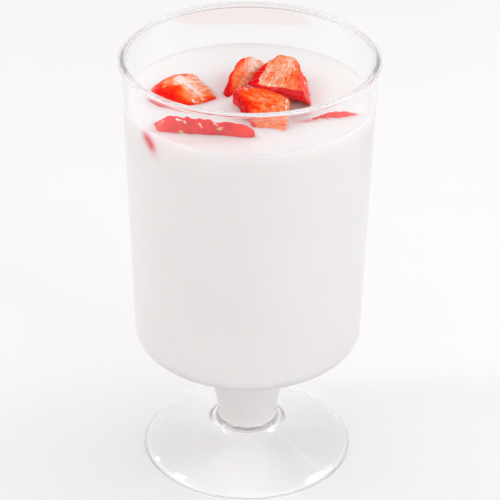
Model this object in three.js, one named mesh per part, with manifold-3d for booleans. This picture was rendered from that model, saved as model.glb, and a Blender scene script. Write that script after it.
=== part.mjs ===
// A clear disposable dessert goblet, moulded in one piece with a hollow stem and a dished foot. It is
// filled with set milk pudding, and pieces of chopped strawberry float half sunk in its top.
// Millimetres, +Z up. The origin is on the table, under the middle of the foot.
import * as THREE from "three";
import { mergeVertices } from "three/addons/utils/BufferGeometryUtils.js";
import Module from "manifold-3d";

const wasm = await Module();
wasm.setup();

// Driving dimensions of the goblet's bowl
const HEIGHT = 120;
const RIM_RADIUS = 34;
const LIP_HEIGHT = 1.3;
const LIP_WIDTH = 2;
const LIP_ROUND = 0.4;
const WALL = 1.3;
const WALL_TOP_RADIUS = 33.3;
const WALL_FOOT_RADIUS = 30.9;
const WALL_FOOT_Z = 39.8;
const CORNER_RADIUS = 4.6;
const CORNER_TURN = 78;
const BOWL_DROP = 3.9;

// Driving dimensions of the stem and the foot
const STEM_RADIUS = 8;
const STEM_WAIST_Z = 11.5;
const STEM_FLARE_Z = 19.5;
const STEM_FLARE = 1.6;
const STEM_THROAT_Z = 26.6;
const STEM_THROAT = 3.4;
const STEM_MOUTH_RADIUS = 15;
const STEM_FLOOR_Z = 8.7;
const STEM_FLOOR_ROUND = 0.8;
const HUB_Z = 9.4;
const HUB_FLARE_RADIUS = 11;
const HUB_FLARE_Z = 7.2;
const FOOT_RADIUS = 28.9;
const FOOT_PLATE = 1.2;
const FOOT_SHOULDER_RADIUS = 25.6;
const FOOT_SHOULDER_Z = 2.5;
const FOOT_RING_WIDTH = 1.1;
const FOOT_RING_HEIGHT = 0.7;

// Driving dimensions of the filling
const MILK_Z = 108;
const MENISCUS_HEIGHT = 0.6;
const MENISCUS_WIDTH = 1.8;
const GAP = 0.3;

// The chopped strawberry. Each piece is what some knife cuts leave of a berry: at is the berry's middle,
// axis is the azimuth and elevation of its length, and a cut has the azimuth and elevation that it
// faces and its distance from the berry's middle.
const PIECES = [
  {
    name: "strawberry_right",
    at: [10.3, 2.4, 112],
    length: 31.8,
    width: 22,
    axis: [73, 18],
    cuts: [[-171, 74, 1.1], [4, 28, 2.8], [53.5, -1, 9], [-124, -52, 4.7]],
    underside: 104,
  },
  {
    name: "strawberry_front",
    at: [2.4, -14.3, 105],
    length: 31,
    width: 22.8,
    axis: [158, 9],
    cuts: [[-96, 53, 4.1], [5, -16, 5.6], [203, -7, 1.5]],
    underside: 103,
  },
  {
    name: "strawberry_back",
    at: [3.2, 5.9, 103.7],
    length: 26,
    width: 24.2,
    axis: [98, 7],
    cuts: [[-33, 24, -1.5], [-9, 39, 2.9], [162, 13, 9.3]],
    underside: 103,
  },
  {
    name: "strawberry_left",
    at: [-14.8, 3.8, 102.1],
    length: 29,
    width: 20.8,
    axis: [213, 8],
    cuts: [[18, 65, 7.5], [31, -8, 3.4]],
    underside: 102.5,
  },
  {
    name: "strawberry_slice",
    at: [-10.4, -16.8, 103.5],
    length: 29.4,
    width: 24,
    axis: [153, 10],
    cuts: [[20, -20, 7.5], [-96, 14, 5.3], [80, 39, 3]],
    underside: 102,
  },
  {
    name: "strawberry_sliver",
    at: [20.9, -9.5, 97.7],
    length: 26.8,
    width: 24,
    axis: [-44, 15],
    cuts: [[105, 5, 0.5], [-16, 0, 8], [-78, 25, 5.7]],
    underside: 102.5,
  },
];

// Facets round the goblet, and round and along a berry, and the size of the block that makes a cut
const AROUND = 60;
const BERRY_AROUND = 24;
const BERRY_ALONG = 16;
const KNIFE = 80;

const clearPlastic = new THREE.MeshStandardMaterial({
  color: 0xeef2f6,
  roughness: 0.05,
  metalness: 0,
  transparent: true,
  opacity: 0.3,
});
const milkWhite = new THREE.MeshStandardMaterial({ color: 0xf6f2f0, roughness: 0.35, metalness: 0 });
const berryRed = new THREE.MeshStandardMaterial({ color: 0xe0301e, roughness: 0.3, metalness: 0 });

const goblet = new THREE.Group();

function addNode(name, geometry, material) {
  const mesh = new THREE.Mesh(geometry, material);
  mesh.name = name;
  goblet.add(mesh);
}

// A point of a profile, at a radius and a height
function at(radius, z) {
  return new THREE.Vector2(radius, z);
}

// The points of a smooth curve through some stations, for the parts of a profile that flow
function flowing(stations, steps) {
  return new THREE.SplineCurve(stations).getPoints(steps);
}

// The points of the bowl's round lower corner, from the wall inwards
function bowlCorner(inset, steps) {
  const centre = WALL_FOOT_RADIUS - CORNER_RADIUS;
  const radius = CORNER_RADIUS - inset;
  const points = [];
  for (let i = 0; i <= steps; i++) {
    const turn = THREE.MathUtils.degToRad((-CORNER_TURN * i) / steps);
    points.push(at(centre + radius * Math.cos(turn), WALL_FOOT_Z + radius * Math.sin(turn)));
  }
  return points;
}

// The wall's outer radius at a height between the bowl's corner and its lip
function wallRadius(z) {
  const share = (z - WALL_FOOT_Z) / (HEIGHT - LIP_HEIGHT - WALL_FOOT_Z);
  return THREE.MathUtils.lerp(WALL_FOOT_RADIUS, WALL_TOP_RADIUS, share);
}

// The bowl and stem from the bowl's corner down to the stem's waist, drawn in by an inset. The bowl's
// floor slopes gently to the stem, which opens into it like a trumpet.
function bowlAndStem(inset) {
  const floorZ = WALL_FOOT_Z - CORNER_RADIUS;
  const floor = [
    at(STEM_MOUTH_RADIUS + 4 - inset * 0.2, floorZ - BOWL_DROP * 0.54 + inset),
    at(STEM_MOUTH_RADIUS - inset * 0.5, floorZ - BOWL_DROP + inset * 0.9),
    at(STEM_RADIUS + STEM_THROAT - inset * 0.9, STEM_THROAT_Z + inset * 0.5),
    at(STEM_RADIUS + STEM_FLARE - inset, STEM_FLARE_Z),
    at(STEM_RADIUS - inset, STEM_WAIST_Z),
  ];
  return [...bowlCorner(inset, 5), ...flowing(floor, 8)];
}

// The foot's upper surface from the stem to the shoulder, lowered by a thickness
function footSurface(drop) {
  const middle = at(
    (HUB_FLARE_RADIUS + FOOT_SHOULDER_RADIUS) / 2,
    (HUB_FLARE_Z + FOOT_SHOULDER_Z) / 2 - 0.3 - drop,
  );
  const stations = [
    at(STEM_RADIUS + 0.5, HUB_Z - drop),
    at(HUB_FLARE_RADIUS, HUB_FLARE_Z - drop),
    middle,
    at(FOOT_SHOULDER_RADIUS, FOOT_SHOULDER_Z - drop),
  ];
  return flowing(stations, 6);
}

// The goblet's section: from the axis under the stem's floor, out under the foot, up the outside, over
// the lip and down the inside to the axis again
function gobletProfile() {
  const floorUnderside = STEM_FLOOR_Z - WALL;
  const under = [at(0, floorUnderside), at(STEM_RADIUS - WALL, floorUnderside), ...footSurface(FOOT_PLATE)];
  const ring = [
    at(FOOT_RADIUS - FOOT_RING_WIDTH - 0.5, FOOT_RING_HEIGHT * 0.7),
    at(FOOT_RADIUS - FOOT_RING_WIDTH, 0),
    at(FOOT_RADIUS, 0),
    at(FOOT_RADIUS, FOOT_RING_HEIGHT),
    at(FOOT_RADIUS - 0.7, FOOT_RING_HEIGHT + 0.2),
    at(FOOT_SHOULDER_RADIUS + 1.2, FOOT_SHOULDER_Z - 0.35),
  ];
  const lipFoot = HEIGHT - LIP_HEIGHT;
  const lip = [
    at(WALL_TOP_RADIUS, lipFoot),
    at(RIM_RADIUS - LIP_ROUND / 2, lipFoot + LIP_ROUND / 2),
    at(RIM_RADIUS, lipFoot + LIP_HEIGHT / 2),
    at(RIM_RADIUS - LIP_ROUND, HEIGHT - LIP_ROUND / 2),
    at(RIM_RADIUS - LIP_WIDTH / 2, HEIGHT),
    at(RIM_RADIUS - LIP_WIDTH + LIP_ROUND, HEIGHT - LIP_ROUND / 2),
    at(RIM_RADIUS - LIP_WIDTH, lipFoot),
  ];
  const stemFloor = [
    at(STEM_RADIUS - WALL - 0.1, STEM_FLOOR_Z + STEM_FLOOR_ROUND),
    at(STEM_RADIUS - WALL - STEM_FLOOR_ROUND, STEM_FLOOR_Z),
    at(0, STEM_FLOOR_Z),
  ];
  const outside = [...footSurface(0).reverse(), ...bowlAndStem(0).reverse()];
  return [...under, ...ring, ...outside, ...lip, ...bowlAndStem(WALL), ...stemFloor];
}

// The pudding's section, up from the stem's floor: it fills the goblet to its level, a gap off the
// wall, and its edge is drawn a little way up the wall
function puddingProfile() {
  const inset = WALL + GAP;
  const bottom = STEM_FLOOR_Z + GAP;
  const edge = wallRadius(MILK_Z) - inset;
  return [
    at(0, bottom),
    at(STEM_RADIUS - inset - STEM_FLOOR_ROUND, bottom),
    at(STEM_RADIUS - inset - 0.1, bottom + STEM_FLOOR_ROUND),
    ...bowlAndStem(inset).reverse(),
    at(edge, MILK_Z + MENISCUS_HEIGHT),
    at(edge - MENISCUS_WIDTH * 0.4, MILK_Z + MENISCUS_HEIGHT * 0.25),
    at(edge - MENISCUS_WIDTH, MILK_Z),
    at(0, MILK_Z),
  ];
}

// A profile of radius and height, turned about the upright axis
function turned(profile) {
  return new THREE.LatheGeometry(profile, AROUND).rotateX(Math.PI / 2);
}

// A closed geometry as a solid that can be cut
function solidOf(geometry) {
  const bare = geometry.clone();
  bare.deleteAttribute("normal");
  bare.deleteAttribute("uv");
  const merged = mergeVertices(bare, 1e-4);
  const mesh = new wasm.Mesh({
    numProp: 3,
    vertProperties: new Float32Array(merged.attributes.position.array),
    triVerts: new Uint32Array(merged.index.array),
  });
  return new wasm.Manifold(mesh);
}

// A cut solid as a geometry again
function geometryOf(solid) {
  const mesh = solid.getMesh();
  const positions = new Float32Array(mesh.vertProperties);
  const geometry = new THREE.BufferGeometry();
  geometry.setAttribute("position", new THREE.BufferAttribute(positions, mesh.numProp));
  geometry.setIndex(new THREE.BufferAttribute(new Uint32Array(mesh.triVerts), 1));
  geometry.computeVertexNormals();
  return geometry;
}

// The direction of an azimuth, counted from +X towards +Y, and an elevation, both in degrees
function direction(azimuth, elevation) {
  const rise = THREE.MathUtils.degToRad(elevation);
  const turn = THREE.MathUtils.degToRad(azimuth);
  const level = Math.cos(rise);
  return new THREE.Vector3(level * Math.cos(turn), level * Math.sin(turn), Math.sin(rise));
}

// The turn that takes +Z to a direction
function turnTo(target) {
  return new THREE.Quaternion().setFromUnitVectors(new THREE.Vector3(0, 0, 1), target);
}

// A whole strawberry in its place, grown all over by a margin
function wholeBerry(piece, margin) {
  const berry = new THREE.SphereGeometry(1, BERRY_AROUND, BERRY_ALONG);
  berry.rotateX(Math.PI / 2);
  berry.scale(piece.width / 2 + margin, piece.width / 2 + margin, piece.length / 2 + margin);
  berry.applyQuaternion(turnTo(direction(...piece.axis)));
  berry.translate(...piece.at);
  return solidOf(berry);
}

// The half of space beyond a knife cut, as a block that stands off from a point the way the cut faces
function beyondCut(from, facing, distance) {
  const block = new THREE.BoxGeometry(KNIFE, KNIFE, KNIFE);
  block.translate(0, 0, KNIFE / 2 + distance);
  block.applyQuaternion(turnTo(facing));
  block.translate(...from);
  return solidOf(block);
}

// One piece of chopped strawberry, grown all over by a margin: the berry without what lies beyond each
// cut, and level underneath
function choppedPiece(piece, margin) {
  let solid = wholeBerry(piece, margin);
  for (const [azimuth, elevation, distance] of piece.cuts) {
    solid = solid.subtract(beyondCut(piece.at, direction(azimuth, elevation), distance + margin));
  }
  return solid.subtract(beyondCut([0, 0, piece.underside], direction(0, -90), margin));
}

addNode("cup", turned(gobletProfile()), clearPlastic);

// The strawberry pieces, and the pudding with a pocket round each of them
let pudding = solidOf(turned(puddingProfile()));
for (const piece of PIECES) {
  addNode(piece.name, geometryOf(choppedPiece(piece, 0)), berryRed);
  pudding = pudding.subtract(choppedPiece(piece, GAP));
}
addNode("milk_pudding", geometryOf(pudding), milkWhite);

export default goblet;
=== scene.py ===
# A clear footed plastic cup of milk pudding with chopped strawberry half sunk in its top
import math

import bmesh
import bpy
import numpy as np
from mathutils import Matrix, Vector, noise


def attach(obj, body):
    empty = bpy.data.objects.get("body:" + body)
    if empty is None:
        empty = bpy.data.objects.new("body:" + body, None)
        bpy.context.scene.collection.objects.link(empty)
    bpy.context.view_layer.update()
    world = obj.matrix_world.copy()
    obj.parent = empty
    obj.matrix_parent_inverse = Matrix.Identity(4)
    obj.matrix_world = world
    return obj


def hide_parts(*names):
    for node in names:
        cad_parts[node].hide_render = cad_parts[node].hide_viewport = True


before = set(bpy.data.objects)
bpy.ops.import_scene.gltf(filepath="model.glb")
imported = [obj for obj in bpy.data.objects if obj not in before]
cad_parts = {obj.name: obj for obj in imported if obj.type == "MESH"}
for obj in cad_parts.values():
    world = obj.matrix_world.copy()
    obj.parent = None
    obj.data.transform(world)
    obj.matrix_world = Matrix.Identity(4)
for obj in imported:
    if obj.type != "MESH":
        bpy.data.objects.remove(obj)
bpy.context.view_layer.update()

# THE CUP
# A disposable goblet of clear polystyrene, injection moulded in one piece: a straight-sided bowl with a
# small lip, a hollow stem that opens into the bowl, and a dished foot that stands on a narrow ring. The
# ring is scuffed by the table and the lip is a little matt.
MM = 0.001
HEIGHT = 120
RIM_RADIUS = 34
LIP_HEIGHT = 1.3
LIP_WIDTH = 2
LIP_BLEND = 0.6
WALL = 1.3
WALL_TOP_RADIUS = 33.3
WALL_FOOT_RADIUS = 30.9
WALL_FOOT_Z = 39.8
CORNER_RADIUS = 4.6
CORNER_TURN = math.radians(78)
BOWL_DROP = 3.9
STEM_RADIUS = 8
STEM_WAIST_Z = 11.5
STEM_FLARE_Z = 19.5
STEM_FLARE = 1.6
STEM_THROAT_Z = 26.6
STEM_THROAT = 3.4
STEM_MOUTH_RADIUS = 15
STEM_FLOOR_Z = 8.7
STEM_FLOOR_ROUND = 0.8
HUB_Z = 9.4
HUB_FLARE_RADIUS = 11
HUB_FLARE_Z = 7.2
FOOT_RADIUS = 28.9
FOOT_PLATE = 1.2
FOOT_SHOULDER_RADIUS = 25.6
FOOT_SHOULDER_Z = 2.5
FOOT_RING_WIDTH = 1.1
FOOT_RING_HEIGHT = 0.7
SCUFF_HEIGHT = 1.0
AROUND = 360


def flowing(stations, steps):
    """The points of a smooth curve through some stations of radius and height."""
    ends = [stations[0], *stations, stations[-1]]
    points = []
    for i in range(steps + 1):
        along = i / steps * (len(stations) - 1)
        first = min(int(along), len(stations) - 2)
        t = along - first
        before, here, there, after = (np.array(p) for p in ends[first : first + 4])
        leave, arrive = (there - before) / 2, (after - here) / 2
        points.append(
            (2 * here - 2 * there + leave + arrive) * t**3
            + (3 * there - 3 * here - 2 * leave - arrive) * t**2
            + leave * t
            + here
        )
    return points


def bowl_corner(inset, steps):
    """The bowl's round lower corner, from the wall inwards."""
    centre, radius = WALL_FOOT_RADIUS - CORNER_RADIUS, CORNER_RADIUS - inset
    turns = [-CORNER_TURN * i / steps for i in range(steps + 1)]
    return [(centre + radius * math.cos(t), WALL_FOOT_Z + radius * math.sin(t)) for t in turns]


def bowl_and_stem(inset):
    """The bowl and stem from the corner down to the stem's waist, drawn in by an inset."""
    floor_z = WALL_FOOT_Z - CORNER_RADIUS
    floor = [
        (STEM_MOUTH_RADIUS + 4 - inset * 0.2, floor_z - BOWL_DROP * 0.54 + inset),
        (STEM_MOUTH_RADIUS - inset * 0.5, floor_z - BOWL_DROP + inset * 0.9),
        (STEM_RADIUS + STEM_THROAT - inset * 0.9, STEM_THROAT_Z + inset * 0.5),
        (STEM_RADIUS + STEM_FLARE - inset, STEM_FLARE_Z),
        (STEM_RADIUS - inset, STEM_WAIST_Z),
    ]
    return [*bowl_corner(inset, 14), *flowing(floor, 40)]


def foot_surface(drop):
    """The foot's upper surface from the stem to the shoulder, lowered by a thickness."""
    middle_radius = (HUB_FLARE_RADIUS + FOOT_SHOULDER_RADIUS) / 2
    stations = [
        (STEM_RADIUS + 0.5, HUB_Z - drop),
        (HUB_FLARE_RADIUS, HUB_FLARE_Z - drop),
        (middle_radius, (HUB_FLARE_Z + FOOT_SHOULDER_Z) / 2 - 0.3 - drop),
        (FOOT_SHOULDER_RADIUS, FOOT_SHOULDER_Z - drop),
    ]
    return flowing(stations, 24)


def rounded(points, radius, steps=4):
    """A run of points with each corner between its ends rounded off."""
    run = [np.array(p, float) for p in points]
    soft = [run[0]]
    for before, here, after in zip(run, run[1:], run[2:]):
        back, on = before - here, after - here
        reach = min(radius, np.linalg.norm(back) * 0.45, np.linalg.norm(on) * 0.45)
        start = here + back / np.linalg.norm(back) * reach
        stop = here + on / np.linalg.norm(on) * reach
        for i in range(steps + 1):
            t = i / steps
            soft.append((1 - t) ** 2 * start + 2 * t * (1 - t) * here + t**2 * stop)
    return [*soft, run[-1]]


def cup_profile():
    """The cup's profile: its underside, its ring, up the outside, over the lip and down the inside."""
    under_z = STEM_FLOOR_Z - WALL
    hub_under = (STEM_RADIUS + 0.3, HUB_Z - FOOT_PLATE - 0.1)
    under = rounded([(0, under_z), (STEM_RADIUS - WALL, under_z), hub_under], 0.6)
    ring = rounded(
        [
            (FOOT_SHOULDER_RADIUS + 0.8, FOOT_SHOULDER_Z - FOOT_PLATE - 0.25),
            (FOOT_RADIUS - FOOT_RING_WIDTH - 0.5, FOOT_RING_HEIGHT * 0.7),
            (FOOT_RADIUS - FOOT_RING_WIDTH, 0),
            (FOOT_RADIUS, 0),
            (FOOT_RADIUS, FOOT_RING_HEIGHT),
            (FOOT_RADIUS - 0.7, FOOT_RING_HEIGHT + 0.2),
            (FOOT_SHOULDER_RADIUS + 1.2, FOOT_SHOULDER_Z - 0.35),
            (FOOT_SHOULDER_RADIUS + 0.2, FOOT_SHOULDER_Z - 0.05),
        ],
        0.45,
    )
    lip_foot = HEIGHT - LIP_HEIGHT
    lip = rounded(
        [
            (WALL_TOP_RADIUS - 0.02, lip_foot - LIP_BLEND),
            (WALL_TOP_RADIUS, lip_foot),
            (RIM_RADIUS, lip_foot),
            (RIM_RADIUS, HEIGHT),
            (RIM_RADIUS - LIP_WIDTH, HEIGHT),
            (RIM_RADIUS - LIP_WIDTH, lip_foot - LIP_BLEND),
        ],
        0.55,
        6,
    )
    stem_floor = rounded(
        [
            (STEM_RADIUS - WALL - 0.05, STEM_FLOOR_Z + 1.6),
            (STEM_RADIUS - WALL - 0.1, STEM_FLOOR_Z),
            (0, STEM_FLOOR_Z),
        ],
        STEM_FLOOR_ROUND,
    )
    outside = [*foot_surface(0)[::-1], *bowl_and_stem(0)[::-1]]
    return [*under, *foot_surface(FOOT_PLATE)[1:], *ring, *outside, *lip, *bowl_and_stem(WALL), *stem_floor]


def new_object(name, vertices, faces, material):
    """A smooth object of one mesh and one material."""
    mesh = bpy.data.meshes.new(name)
    mesh.from_pydata([tuple(v) for v in vertices], [], faces)
    mesh.materials.append(material)
    mesh.shade_smooth()
    piece = bpy.data.objects.new(name, mesh)
    bpy.context.scene.collection.objects.link(piece)
    return piece


def turned(profile, around):
    """The points and faces of a profile of radius and height turned about the upright axis."""
    radii, heights = np.array(profile, float).T
    turn = np.arange(around) * 2 * math.pi / around
    rings = []
    for radius, height in zip(radii[1:-1], heights[1:-1]):
        rings.append(np.stack([radius * np.cos(turn), radius * np.sin(turn), np.full(around, height)], -1))
    points = np.concatenate([*rings, [[0, 0, heights[0]], [0, 0, heights[-1]]]]) * MM
    first, last = len(points) - 2, len(points) - 1
    faces = []
    for k in range(len(rings) - 1):
        for i in range(around):
            j = (i + 1) % around
            faces.append((k * around + i, k * around + j, (k + 1) * around + j, (k + 1) * around + i))
    end = (len(rings) - 1) * around
    faces += [(first, (i + 1) % around, i) for i in range(around)]
    faces += [(last, end + i, end + (i + 1) % around) for i in range(around)]
    return points, faces


class Shade:
    """An output in a material's nodes. Sums and products of it add Math nodes."""

    def __init__(self, tree, socket=None):
        self.tree = tree
        self.socket = socket

    def node(self, kind, settings=None, inputs=None, output=0):
        made = self.tree.nodes.new("ShaderNode" + kind)
        for name, value in (settings or {}).items():
            if name == "stops":
                while len(made.color_ramp.elements) < len(value):
                    made.color_ramp.elements.new(0.5)
                for element, (place, colour) in zip(made.color_ramp.elements, value):
                    element.position = place
                    element.color = colour
            else:
                setattr(made, name, value)
        for name, value in (inputs or {}).items():
            if isinstance(value, Shade):
                self.tree.links.new(value.socket, made.inputs[name])
            else:
                made.inputs[name].default_value = value
        return Shade(self.tree, made.outputs[output])

    def maths(self, operation, *values):
        return self.node("Math", {"operation": operation}, dict(enumerate(values)))

    def mix(self, factor, one, other, blend="MIX"):
        settings = {"data_type": "RGBA", "blend_type": blend}
        return self.node("Mix", settings, {0: factor, 6: one, 7: other}, 2)

    def __add__(self, other):
        return self.maths("ADD", self, other)

    def __sub__(self, other):
        return self.maths("SUBTRACT", self, other)

    def __rsub__(self, other):
        return self.maths("SUBTRACT", other, self)

    def __mul__(self, other):
        return self.maths("MULTIPLY", self, other)

    __radd__ = __add__
    __rmul__ = __mul__


def material(name):
    """A new material, its nodes as a Shade, and its Principled shader."""
    made = bpy.data.materials.new(name)
    made.use_nodes = True
    return made, Shade(made.node_tree), made.node_tree.nodes["Principled BSDF"]


def srgb(red, green, blue):
    """A colour given as it shows on a screen, as the shader's own red, green, blue and alpha."""
    shown = [c / 255 for c in (red, green, blue)]
    linear = [c / 12.92 if c <= 0.04045 else ((c + 0.055) / 1.055) ** 2.4 for c in shown]
    return (*linear, 1)


def clear_plastic():
    """Clear polystyrene, a little mauve where it is seen edge-on."""
    made, shade, shader = material("clear_plastic")
    edge_on = shade.node("LayerWeight", None, {"Blend": 0.25}, 1)
    tint = shade.mix(edge_on * edge_on * edge_on, srgb(254, 254, 255), srgb(180, 178, 202))
    shade.tree.links.new(tint.socket, shader.inputs["Base Color"])
    shader.inputs["Transmission Weight"].default_value = 1
    shader.inputs["IOR"].default_value = 1.58
    place = shade.node("TexCoord", output=3)
    smear = shade.node("TexNoise", None, {"Vector": place, "Scale": 60, "Detail": 3})
    height = shade.node("SeparateXYZ", None, {"Vector": place}, 2)
    smooth = {"interpolation_type": "SMOOTHSTEP"}
    scuffed = shade.node("MapRange", smooth, {0: height, 1: SCUFF_HEIGHT * MM, 2: 0})
    lip_foot = HEIGHT - LIP_HEIGHT
    lip = shade.node("MapRange", smooth, {0: height, 1: (lip_foot - LIP_BLEND) * MM, 2: lip_foot * MM})
    roughness = 0.01 + smear * 0.02 + scuffed * 0.6 + lip * 0.12
    shade.tree.links.new(roughness.socket, shader.inputs["Roughness"])
    return made


cup = new_object("clear_cup", *turned(cup_profile(), AROUND), clear_plastic())
cup.visible_shadow = False
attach(cup, "root")
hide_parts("cup")

# THE CHOPPED STRAWBERRY
# Pieces of fresh strawberry, cut with a knife into chunks and slices. Each has red skin with seeds in
# dimples where it was the outside of the berry, and wet paler flesh with fibres on its cut faces.
SKIN = 1.5

# at is the berry's middle and axis the azimuth and elevation of its length. A cut has the azimuth and
# elevation that it faces, its distance from the berry's middle, and its colour on the way from the white
# heart at 0, through orange flesh, to the skin. A peel is a plane beyond which skin is left on a cut.
# A patch is riper or paler flesh, and on the left piece also painted light; a smear is a thin milk coating
# along a line whose white is also a painted glint: both in millimetres.
PIECES = {
    "strawberry_right": {
        "at": (10.3, 2.4, 112),
        "length": 31.8,
        "width": 22,
        "axis": (73, 18),
        "cuts": [(-171, 74, 1.1, 0.3), (4, 28, 2.8, 0.72), (53.5, -1, 9, 0.5), (-124, -52, 4.7, SKIN)],
        "underside": 104,
        "round": 34,
        "peels": [(166, 0, 8.0), (-130, 0, 5.4)],
        "patches": [((12.8, -1, 113.5), 4.2, 0.45), ((14.4, -8.5, 111.5), 3, 0.9), ((8, 11, 113), 5, 0.06)],
        "milk_and_glint_streaks": [
            ((12.6, 8, 113), (15.9, -0.5, 108.6), 0.75),
            ((15.9, -4, 108.6), (15.9, -5.6, 108.8), 0.6),
            ((8.6, -5, 111.4), (10.6, -5.4, 111), 0.6),
        ],
        "seeds": [],
    },
    "strawberry_front": {
        "at": (2.4, -14.3, 105),
        "length": 31,
        "width": 22.8,
        "axis": (158, 9),
        "cuts": [(-96, 53, 4.1, 0.5), (5, -16, 5.6, 0.4), (203, -7, 1.5, SKIN)],
        "underside": 103,
        "round": 22,
        "peels": [],
        "patches": [((-1.8, -12, 111), 2.4, 0.75), ((-2, -8.6, 114), 3, 0.25), ((5.5, -16.5, 109), 3, 0.12)],
        "milk_and_glint_streaks": [((-4, -7.6, 113.6), (0.6, -7.8, 114.4), 0.8), ((9.3, -11, 113), (9.4, -18, 108), 0.45)],
        "seeds": [],
    },
    "strawberry_back": {
        "at": (3.2, 5.9, 103.7),
        "length": 26,
        "width": 24.2,
        "axis": (98, 7),
        "cuts": [(-33, 24, -1.5, 0.44), (-9, 39, 2.9, 0.34), (162, 13, 9.3, SKIN)],
        "underside": 103,
        "round": 20,
        "peels": [],
        "patches": [
            ((-5.6, 0.8, 109.8), 2.6, 0.6),
            ((0.6, 12.5, 112.4), 3.4, -0.42),
            ((-1.5, 6.5, 110), 1.6, -0.15),
        ],
        "milk_and_glint_streaks": [((-2, 12, 113.4), (3, 15, 111), 0.7), ((-4.6, 1, 108.7), (0.6, 9.6, 109.3), 0.4)],
        "seeds": [],
    },
    "strawberry_left": {
        "at": (-14.8, 3.8, 102.1),
        "length": 29,
        "width": 20.8,
        "axis": (213, 8),
        "cuts": [(18, 65, 7.5, 0.22), (31, -8, 3.4, 0.3)],
        "underside": 102.5,
        "round": 14,
        "peels": [],
        "patches": [
            # The three paler patches are painted light: the brightly lit top of the skin and its glints,
            # painted orange.
            ((-20.4, 1.8, 111.9), 3.8, -1.0),
            ((-16.2, -3.6, 110.5), 2.8, -0.9),
            ((-12.6, -3.6, 109.2), 2.6, -0.7),
            ((-11, 0.2, 109), 2.2, 0.4),
        ],
        "milk_and_glint_streaks": [
            ((-19, 4, 112.3), (-17.3, 0.9, 112), 1.4),
            ((-17.3, 0.9, 112), (-14.9, -0.9, 111.3), 1.7),
            ((-14.9, -0.9, 111.3), (-12.3, -3.3, 109.6), 1.2),
            ((-14.6, -4.6, 109.4), (-12, -5, 108.4), 0.5),
            ((-19.6, 0.2, 111.8), (-18.8, -0.6, 111.6), 0.5),
            ((-22, 2, 111.3), (-21.6, 1, 111.4), 0.4),
        ],
        "seeds": [(-22.2, 0.1, 111.1)],
    },
    "strawberry_slice": {
        "at": (-10.4, -16.8, 103.5),
        "length": 29.4,
        "width": 24,
        "axis": (153, 10),
        "cuts": [(20, -20, 7.5, 0.9), (-96, 14, 5.3, SKIN), (80, 39, 3, SKIN)],
        "underside": 102,
        "round": 26,
        "peels": [],
        "patches": [((-1.4, -21.4, 110), 2.2, -0.5), ((-21.8, -18.4, 110), 1.6, -0.5)],
        "milk_and_glint_streaks": [
            ((-21.8, -18.4, 110.6), (-19.6, -19.4, 110.9), 0.5),
            ((-16.2, -19.8, 111.6), (-14.8, -20.4, 110.2), 0.5),
            ((-12.6, -20.2, 111.3), (-11.8, -20.6, 110.3), 0.45),
            ((-8.8, -20.4, 111.6), (-6.8, -20.9, 110.3), 0.55),
            ((-5.4, -21, 109.6), (-4.8, -21.4, 108.9), 0.5),
            ((-18, -19.4, 111.9), (-16.8, -19.6, 111.8), 0.5),
            ((-2.2, -21, 111.2), (-1.4, -21.6, 109.6), 0.45),
        ],
        "seeds": [(-17, -20.3, 108.9), (-7.3, -21, 110.3)],
    },
    "strawberry_sliver": {
        "at": (20.9, -9.5, 97.7),
        "length": 26.8,
        "width": 24,
        "axis": (-44, 15),
        "cuts": [(105, 5, 0.5, 0.9), (-16, 0, 8, SKIN), (-78, 25, 5.7, SKIN)],
        "underside": 102.5,
        "round": 30,
        "peels": [],
        "patches": [((22.5, -10.4, 108.8), 3.5, -0.5)],
        "milk_and_glint_streaks": [((17, -11.9, 108.2), (20.5, -11.1, 108.4), 0.45)],
        "seeds": [],
    },
}
KNIFE_WANDER = 0.5
WANDER_WAVES = 4.5
WANDER_SHIFTS = ((0, 0, 0), (31, 0, 0), (0, 53, 0))
FIBRE_STRETCH = 0.36
PEEL_FADE = 0.5
SEED_SPACING = 6
SEED_CLEARANCE = 4.5
SEED_REACH = 0.8
SEED_BED = 1.5
SEED_LENGTH = 1.3
DIMPLE_DEPTH = 0.3
DIMPLE_RADIUS = 0.7


def direction(azimuth, elevation):
    """A direction of length 1 from two angles in degrees."""
    turn, rise = math.radians(azimuth), math.radians(elevation)
    return np.array([math.cos(rise) * math.cos(turn), math.cos(rise) * math.sin(turn), math.sin(rise)])


def berry_frame(piece):
    """Three directions at right angles, the last along the berry's length."""
    along = direction(*piece["axis"])
    across = np.cross(along, (0, 0, 1))
    across /= np.linalg.norm(across)
    return np.stack([across, np.cross(along, across), along])


def to_unit_ball(piece):
    """The matrix that takes an offset from a berry's middle to a space where the berry is a unit ball."""
    half = np.array([piece["width"], piece["width"], piece["length"]]) / 2
    return berry_frame(piece) / half[:, None]


def knife_cuts(piece):
    """Each flat face of a piece: its facing, its distance from the berry's middle, and its colour."""
    cuts = [(direction(a, e), reach, tone) for a, e, reach, tone in piece["cuts"]]
    return [*cuts, (np.array([0, 0, -1.0]), piece["at"][2] - piece["underside"], 0.5)]


def depth_in(piece, points):
    """How far points are outside a piece, roughly, in millimetres, less than nothing inside it."""
    offset = points - piece["at"]
    ball = np.linalg.norm(offset @ to_unit_ball(piece).T, axis=1)
    outside = (ball - 1) * piece["width"] / 2
    for facing, reach, _ in knife_cuts(piece):
        outside = np.maximum(outside, offset @ facing - reach)
    return outside


def heart_of(piece):
    """The middle of a chopped piece, found on a grid of points inside it."""
    steps = np.linspace(-1, 1, 33) * piece["length"] / 2
    grid = np.stack(np.meshgrid(steps, steps, steps), -1).reshape(-1, 3) + piece["at"]
    return grid[depth_in(piece, grid) < 0].mean(0)


def ball_mesh(subdivisions):
    """The points and faces of an even ball of radius 1."""
    mesh = bmesh.new()
    bmesh.ops.create_icosphere(mesh, subdivisions=subdivisions, radius=1)
    points = np.array([v.co for v in mesh.verts])
    faces = [tuple(v.index for v in f.verts) for f in mesh.faces]
    mesh.free()
    return points / np.linalg.norm(points, axis=1, keepdims=True), faces


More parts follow.
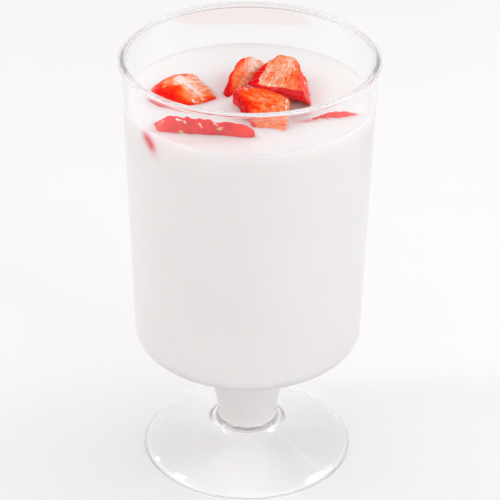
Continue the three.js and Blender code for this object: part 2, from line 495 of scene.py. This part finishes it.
def seed_places(piece):
    """Points spread over the whole berry's skin, and those that are named, which show at the front."""
    count = int(math.pi * piece["width"] * piece["length"] / SEED_SPACING**2)
    k = np.arange(count) + 0.5
    z = 1 - 2 * k / count
    turn = k * math.pi * (3 - math.sqrt(5))
    ring = np.sqrt(1 - z**2)
    spiral = np.stack([ring * np.cos(turn), ring * np.sin(turn), z], -1)
    places = list(np.linalg.solve(to_unit_ball(piece), spiral.T).T + piece["at"])
    named = [np.array(p, float) for p in piece["seeds"]]
    rest = [p for p in places if all(np.linalg.norm(p - n) > SEED_CLEARANCE for n in named)]
    return [(p, True) for p in named] + [(p, False) for p in rest]


def near_line(points, start, end):
    """How far points are from a line between two points."""
    start, end = np.array(start, float), np.array(end, float)
    run = end - start
    share = np.clip((points - start) @ run / (run @ run), 0, 1)
    return np.linalg.norm(points - start - share[:, None] * run, axis=1)


def chopped_form(piece, rays, wander):
    """Where rays from a piece's middle meet its skin and its wandering cuts, with the skin and tone there."""
    sharpness = piece["round"]
    heart = heart_of(piece)
    to_ball = to_unit_ball(piece)
    inside, ray = to_ball @ (heart - piece["at"]), rays @ to_ball.T
    a, b, c = (ray**2).sum(1), ray @ inside, inside @ inside - 1
    pull = ((-b + np.sqrt(b * b - a * c)) / a) ** -sharpness
    skin, tone, total = pull.copy(), pull * SKIN, pull
    for i, (facing, reach, cut_tone) in enumerate(knife_cuts(piece)):
        facing_ray = np.maximum(rays @ facing, 1e-6)
        gap = reach - (heart - piece["at"]) @ facing + wander[:, i % 3]
        pull = (facing_ray / gap) ** sharpness
        skin += pull * (cut_tone == SKIN)
        tone += pull * cut_tone
        total = total + pull
    return heart + rays * (total ** (-1 / sharpness))[:, None], skin / total, tone / total


def painted(piece, points, skin, tone):
    """The skin, the tone, and the milk and painted glints at each point, with the piece's peels, patches and
    streaks of milk and glint laid on.
    """
    offset = points - piece["at"]
    for azimuth, elevation, reach in piece["peels"]:
        share = np.clip((offset @ direction(azimuth, elevation) - reach) / PEEL_FADE + 0.5, 0, 1)
        skin, tone = np.maximum(skin, share), tone + (SKIN - tone) * share
    for centre, radius, change in piece["patches"]:
        tone = tone + change * np.exp(-((np.linalg.norm(points - centre, axis=1) / radius) ** 2))
    # Each smear is a streak of milk on the fruit and also a painted glint.
    smear = np.zeros(len(points))
    for start, end, radius in piece["milk_and_glint_streaks"]:
        smear = np.maximum(smear, np.exp(-((near_line(points, start, end) / radius) ** 2)))
    return skin, tone, smear


def relief_at(points, fibre, skin):
    """How far each point is raised, in millimetres: strands and dents on the flesh, gentler on the skin."""
    strand = np.array([noise.noise(Vector(f * 1.1)) for f in fibre])
    lump = np.array([noise.noise(Vector(p * 0.32)) for p in points])
    dent = np.array([noise.noise(Vector(p * 0.9)) for p in points])
    on_flesh = strand * 0.22 + dent * 0.2 + lump * 0.5
    on_skin = lump * 0.3 + dent * 0.12
    return (1 - skin) * on_flesh + skin * on_skin


def seed_body(piece, points, rays, nearest, seed_ball):
    """The points of one seed, which lies along the berry in its dimple."""
    spot = points[nearest]
    close = np.linalg.norm(points - spot, axis=1) < SEED_BED
    out = np.linalg.svd(points[close] - points[close].mean(0))[2][2]
    out *= np.sign(out @ rays[nearest])
    along = direction(*piece["axis"])
    along = along - out * (along @ out)
    along /= np.linalg.norm(along)
    body = seed_ball * (SEED_LENGTH * 0.3, SEED_LENGTH * 0.5, SEED_LENGTH * 0.22)
    body[:, 0] *= 1 - 0.35 * seed_ball[:, 1]
    return spot + out * 0.1 + body @ np.stack([np.cross(out, along), along, out])


def chopped_piece(name, piece, rays, ray_faces, wander, finish):
    """One piece of fruit with its relief, its seeds, and what its shader reads at each point."""
    points, skin, tone = chopped_form(piece, rays, wander)
    skin, tone, smear = painted(piece, points, skin, tone)
    fibre = (points - piece["at"]) @ berry_frame(piece).T * (1, 1, FIBRE_STRETCH)
    relief = relief_at(points, fibre, skin)

    seeds = []
    for spot, shown in seed_places(piece):
        away = np.linalg.norm(points - spot, axis=1)
        nearest = away.argmin()
        if away[nearest] < SEED_REACH and (shown or skin[nearest] > 0.9 and rays[nearest][1] > 0):
            relief -= DIMPLE_DEPTH * np.exp(-((away / DIMPLE_RADIUS) ** 2))
            seeds.append(nearest)
    points = points + rays * relief[:, None]

    seed_ball, seed_faces = ball_mesh(2)
    vertices, faces = [points], list(ray_faces)
    for nearest in seeds:
        start = sum(len(v) for v in vertices)
        vertices.append(seed_body(piece, points, rays, nearest, seed_ball))
        faces += [tuple(start + k for k in face) for face in seed_faces]
    made = new_object(name, np.concatenate(vertices) * MM, faces, finish["flesh"])
    made.data.materials.append(finish["seed"])
    slots = np.zeros(len(faces), np.int32)
    slots[len(ray_faces) :] = 1
    made.data.polygons.foreach_set("material_index", slots)

    spare = sum(len(v) for v in vertices) - len(points)
    # The smear attribute carries the milk streaks, which are also the painted glints on the fruit.
    for label, values in (("skin", skin), ("tone", tone), ("smear", smear)):
        layer = made.data.attributes.new(label, "FLOAT", "POINT")
        layer.data.foreach_set("value", np.concatenate([values, np.zeros(spare)]))
    layer = made.data.attributes.new("fibre", "FLOAT_VECTOR", "POINT")
    layer.data.foreach_set("vector", np.concatenate([fibre, np.zeros((spare, 3))]).ravel())
    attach(made, "root")
    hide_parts(name)
    return made


def strawberry():
    """Red skin and paler fibrous flesh, under broken streaks of milk whose white is also painted glints."""
    made, shade, shader = material("strawberry_flesh_and_skin")
    skin = shade.node("Attribute", {"attribute_name": "skin"}, output=2)
    tone = shade.node("Attribute", {"attribute_name": "tone"}, output=2)
    smear = shade.node("Attribute", {"attribute_name": "smear"}, output=2)
    fibre = shade.node("Attribute", {"attribute_name": "fibre"}, output=1)
    place = shade.node("TexCoord", output=3)
    flesh = 1 - skin

    strands = shade.node("TexNoise", None, {"Vector": fibre, "Scale": 1.5, "Detail": 3, "Distortion": 0.8})
    broad = shade.node("TexNoise", None, {"Vector": fibre, "Scale": 0.45, "Detail": 2})
    patches = shade.node("TexNoise", None, {"Vector": place, "Scale": 260, "Detail": 2})
    mottle = shade.node("TexNoise", None, {"Vector": place, "Scale": 620, "Detail": 3, "Distortion": 0.6})
    uneven = (patches - 0.5) * 0.3 + skin * ((mottle - 0.5) * 0.9 - 0.12)
    ripe = tone + flesh * ((broad - 0.5) * 0.6 + (strands - 0.5) * 1.35) + uneven
    stops = [
        (0.0, srgb(255, 226, 214)),
        (0.13, srgb(255, 190, 165)),
        (0.27, srgb(253, 146, 94)),
        (0.42, srgb(252, 98, 24)),
        (0.57, srgb(249, 54, 10)),
        (0.72, srgb(246, 30, 10)),
        (0.88, srgb(236, 8, 8)),
        (1.0, srgb(214, 0, 14)),
    ]
    colour = shade.node("ValToRGB", {"stops": stops}, {"Fac": ripe * (1 / SKIN)})
    broken = shade.node("TexNoise", None, {"Vector": place, "Scale": 750, "Detail": 3, "Distortion": 1.5})
    smooth = {"interpolation_type": "SMOOTHSTEP"}
    # The white streaks are milk on the fruit and also painted glints.
    milk_film_and_glint = shade.node("MapRange", smooth, {0: smear * 0.56 + broken, 1: 0.86, 2: 1.1})
    colour = shade.mix(milk_film_and_glint * 0.9, colour, srgb(255, 242, 238))
    shade.tree.links.new(colour.socket, shader.inputs["Base Color"])

    bumps = shade.node("TexNoise", None, {"Vector": place, "Scale": 800, "Detail": 2})
    height = bumps + strands * flesh + milk_film_and_glint
    bump = shade.node("Bump", None, {"Strength": 0.35, "Distance": 0.0004, "Height": height})
    shade.tree.links.new(bump.socket, shader.inputs["Normal"])
    roughness = 0.22 + bumps * 0.16 - milk_film_and_glint * 0.12
    shade.tree.links.new(roughness.socket, shader.inputs["Roughness"])
    shade.tree.links.new((milk_film_and_glint * 0.9).socket, shader.inputs["Coat Weight"])
    shader.inputs["Coat Roughness"].default_value = 0.08
    shader.inputs["Specular IOR Level"].default_value = 0.08
    shader.inputs["Subsurface Weight"].default_value = 0.45
    shader.inputs["Subsurface Radius"].default_value = (0.0025, 0.0006, 0.0003)
    shader.inputs["Subsurface Scale"].default_value = 1
    return made


def seed_coat():
    """The dull yellow of a ripe strawberry's seeds."""
    made, shade, shader = material("strawberry_seed")
    place = shade.node("TexCoord", output=3)
    shine = shade.node("TexNoise", None, {"Vector": place, "Scale": 700})
    colour = shade.mix(shine, srgb(196, 160, 52), srgb(232, 205, 96))
    shade.tree.links.new(colour.socket, shader.inputs["Base Color"])
    shader.inputs["Roughness"].default_value = 0.35
    return made


rays, ray_faces = ball_mesh(7)
# Only noise.noise is used, because noise.noise_vector gives other values in each run of Blender.
waves = [[noise.noise(Vector(ray * WANDER_WAVES + shift)) for shift in WANDER_SHIFTS] for ray in rays]
wander = np.array(waves) * KNIFE_WANDER
berry_finish = {"flesh": strawberry(), "seed": seed_coat()}
for name, piece in PIECES.items():
    chopped_piece(name, piece, rays, ray_faces, wander, berry_finish)

# THE MILK PUDDING
# Set milk pudding, poured in to a little under the rim, so it fills the stem and bowl. It is wet against
# the plastic, climbs a little where it meets the wall and the fruit, and is tinted pink by the juice.

# Juice has run into the milk beside some pieces, the sliver's end shows through it, and two more pieces
# lie sunk against the plastic: a stain has its middle, its reach along X, Y and Z, and its strength.
JUICE = [
    ((-8.5, 3, 108), (3, 5, 3), 0.12),
    ((-6.6, 8, 108), (2.2, 7, 3), 0.14),
    ((17.4, 1, 108), (1.6, 8, 3), 0.12),
    ((13, -9, 108), (3, 3, 3), 0.06),
    ((-11, -24, 108), (12, 1.6, 2), 0.1),
    ((15, -12, 108), (3, 1.5, 2), 0.12),
    ((14, -12.4, 108), (2.6, 0.5, 2), 0.5),
    ((-25, -18.8, 106.2), (1.7, 1.7, 1.5), 0.95),
    ((-23.8, -20.2, 104.6), (1.5, 1.5, 1.6), 0.95),
    ((31.6, -2.4, 106.6), (0.9, 1.8, 1.4), 1),
]
MILK_Z = 108
MENISCUS_HEIGHT = 0.6
MENISCUS_WIDTH = 1.8
WETTING = 0.06
FRUIT_CLIMB = 0.4
FRUIT_CLIMB_WIDTH = 0.5
DIP_UNDER_FRUIT = 0.9
DIP_START = 0.4
DIP_WIDTH = 0.8
JUICE_BY_FRUIT = 0.3
TOP_RINGS = 170
MILK_AROUND = 300


def pudding_profile():
    """The pudding's profile, from the stem's floor up the wall and in over its top."""
    inset = WALL - WETTING
    bottom = STEM_FLOOR_Z - WETTING
    share = (MILK_Z - WALL_FOOT_Z) / (HEIGHT - LIP_HEIGHT - WALL_FOOT_Z)
    edge = WALL_FOOT_RADIUS + (WALL_TOP_RADIUS - WALL_FOOT_RADIUS) * share - inset
    floor = rounded(
        [(0, bottom), (STEM_RADIUS - inset - 0.1, bottom), (STEM_RADIUS - inset - 0.05, bottom + 1.6)],
        STEM_FLOOR_ROUND,
    )
    side = flowing([(WALL_FOOT_RADIUS - inset, WALL_FOOT_Z), (edge, MILK_Z + MENISCUS_HEIGHT)], 60)
    radii = edge * (1 - np.arange(1, TOP_RINGS + 1) / TOP_RINGS)
    climb = MENISCUS_HEIGHT * np.exp(-(edge - radii) / MENISCUS_WIDTH * 3)
    top = list(zip(radii, MILK_Z + climb))
    return [*floor, *bowl_and_stem(inset)[::-1][:-1], *side, *top]


def pudding():
    """Soft white milk, pink where juice has run into it."""
    made, shade, shader = material("milk_pudding")
    tint = shade.node("Attribute", {"attribute_name": "tint"}, output=2)
    place = shade.node("TexCoord", output=3)
    cloud = shade.node("TexNoise", None, {"Vector": place, "Scale": 45, "Detail": 2})
    milk = shade.mix(cloud, srgb(238, 235, 235), srgb(244, 241, 241))
    colour = shade.mix(tint, milk, srgb(226, 56, 66))
    shade.tree.links.new(colour.socket, shader.inputs["Base Color"])
    shader.inputs["Roughness"].default_value = 0.3
    shader.inputs["Subsurface Weight"].default_value = 0.7
    shader.inputs["Subsurface Radius"].default_value = (0.003, 0.0024, 0.0022)
    shader.inputs["Subsurface Scale"].default_value = 1
    return made


points, faces = turned(pudding_profile(), MILK_AROUND)
spots = points / MM
to_fruit = np.min([depth_in(piece, spots) for piece in PIECES.values()], axis=0)
on_top = spots[:, 2] > MILK_Z - 0.5
by_fruit = np.exp(-np.maximum(to_fruit, 0) / FRUIT_CLIMB_WIDTH)
dip = np.clip((-to_fruit - DIP_START) / DIP_WIDTH, 0, 1)
points[:, 2] += np.where(on_top, FRUIT_CLIMB * by_fruit - DIP_UNDER_FRUIT * dip, 0) * MM
milk = new_object("milk_pudding_fill", points, faces, pudding())
tint = JUICE_BY_FRUIT * by_fruit
for centre, radius, strength in JUICE:
    away = np.linalg.norm((spots - centre) / radius, axis=1)
    tint = tint + strength * np.exp(-(away**2))
layer = milk.data.attributes.new("tint", "FLOAT", "POINT")
layer.data.foreach_set("value", tint)
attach(milk, "root")
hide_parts("milk_pudding")

# THE FLOOR, THE LIGHT AND THE CAMERA
# A plain pale table that runs past the picture, soft light from wide panels overhead, in front and to
# each side, and a camera that looks down on the cup with a long lens.
floor_material, shade, shader = material("pale_floor")
grain = shade.node("TexNoise", None, {"Vector": shade.node("TexCoord", output=3), "Scale": 25, "Detail": 4})
pale = shade.mix(grain, srgb(252, 251, 250), srgb(254, 253, 253))
shade.tree.links.new(pale.socket, shader.inputs["Base Color"])
shader.inputs["Roughness"].default_value = 0.7
FLOOR_HALF = 3.0
FLOOR_DROP = 0.0002
corners = [(x * FLOOR_HALF, y * FLOOR_HALF, 0) for x, y in ((-1, -1), (1, -1), (1, 1), (-1, 1))]
floor = new_object("floor", corners, [(0, 1, 2, 3)], floor_material)
floor.location.z = -FLOOR_DROP

CUP_MIDDLE = (0, 0, 0.08)


def soft_light(name, place, size, power, colour=(1, 1, 1)):
    """A rectangular panel that faces the cup."""
    lamp = bpy.data.lights.new(name, "AREA")
    lamp.shape = "RECTANGLE"
    lamp.size, lamp.size_y = size
    lamp.energy = power
    lamp.color = colour
    light = bpy.data.objects.new(name, lamp)
    light.location = place
    light.rotation_euler = (Vector(CUP_MIDDLE) - Vector(place)).to_track_quat("-Z", "Y").to_euler()
    light.visible_transmission = False
    bpy.context.scene.collection.objects.link(light)
    return light


WARM = (1, 0.96, 0.95)
soft_light("overhead", (0.1, 0.25, 0.8), (0.7, 0.7), 0.75)
soft_light("front_top", (0, -0.4, 0.8), (0.5, 0.2), 0.1)
soft_light("right_side", (0.65, 0.1, 0.55), (0.35, 0.5), 1.1)
soft_light("left_side", (-0.6, 0.0, 0.62), (0.12, 0.4), 0.9, WARM)
soft_light("low_right", (0.8, -0.5, 0.14), (0.8, 0.28), 1.7)
soft_light("low_left", (-0.8, -0.5, 0.14), (0.8, 0.28), 1.5, WARM)
soft_light("front_right", (0.65, -0.65, 0.5), (0.4, 0.3), 0.7)

# Two small bright panels that show only as reflections, as a window does in clear plastic.
WINDOW_POWER = 1.3
WINDOWS = {"window_left": ((-1, 0.05, 0.5), (1.4, 0.05)), "window_right": ((0.75, 0, 0.62), (0.3, 0.22))}
for name, (place, size) in WINDOWS.items():
    window = soft_light(name, place, size, WINDOW_POWER)
    window.visible_diffuse = False

world = bpy.data.worlds.new("studio")
world.use_nodes = True
sky = Shade(world.node_tree)
upward = sky.node("SeparateXYZ", None, {"Vector": sky.node("TexCoord")}, 2)
stops = [(0.0, (1, 0.992, 0.99, 1)), (1.0, (0.55, 0.55, 0.55, 1))]
glow = sky.node("ValToRGB", {"stops": stops}, {"Fac": upward})
backdrop = world.node_tree.nodes["Background"]
world.node_tree.links.new(glow.socket, backdrop.inputs["Color"])
backdrop.inputs["Strength"].default_value = 0.97
bpy.context.scene.world = world
bpy.context.scene.view_settings.view_transform = "Standard"
bpy.context.scene.cycles.max_bounces = 24
bpy.context.scene.cycles.glossy_bounces = 16
bpy.context.scene.cycles.transmission_bounces = 24

LENS = 166.02
SENSOR = 36
CAMERA_PLACE = (0.425, -536.5, 376.37)
CAMERA_ELEVATION = 0.5298
CAMERA_ROLL = 0.0085
data = bpy.data.cameras.new("camera")
data.lens = LENS
data.sensor_width = SENSOR
data.clip_start = 0.01
camera = bpy.data.objects.new("camera", data)
tilt = Matrix.Rotation(math.pi / 2 - CAMERA_ELEVATION, 4, "X")
roll = Matrix.Rotation(CAMERA_ROLL, 4, "Z")
camera.matrix_world = Matrix.Translation(Vector(CAMERA_PLACE) * MM) @ tilt @ roll
bpy.context.scene.collection.objects.link(camera)
bpy.context.scene.camera = camera
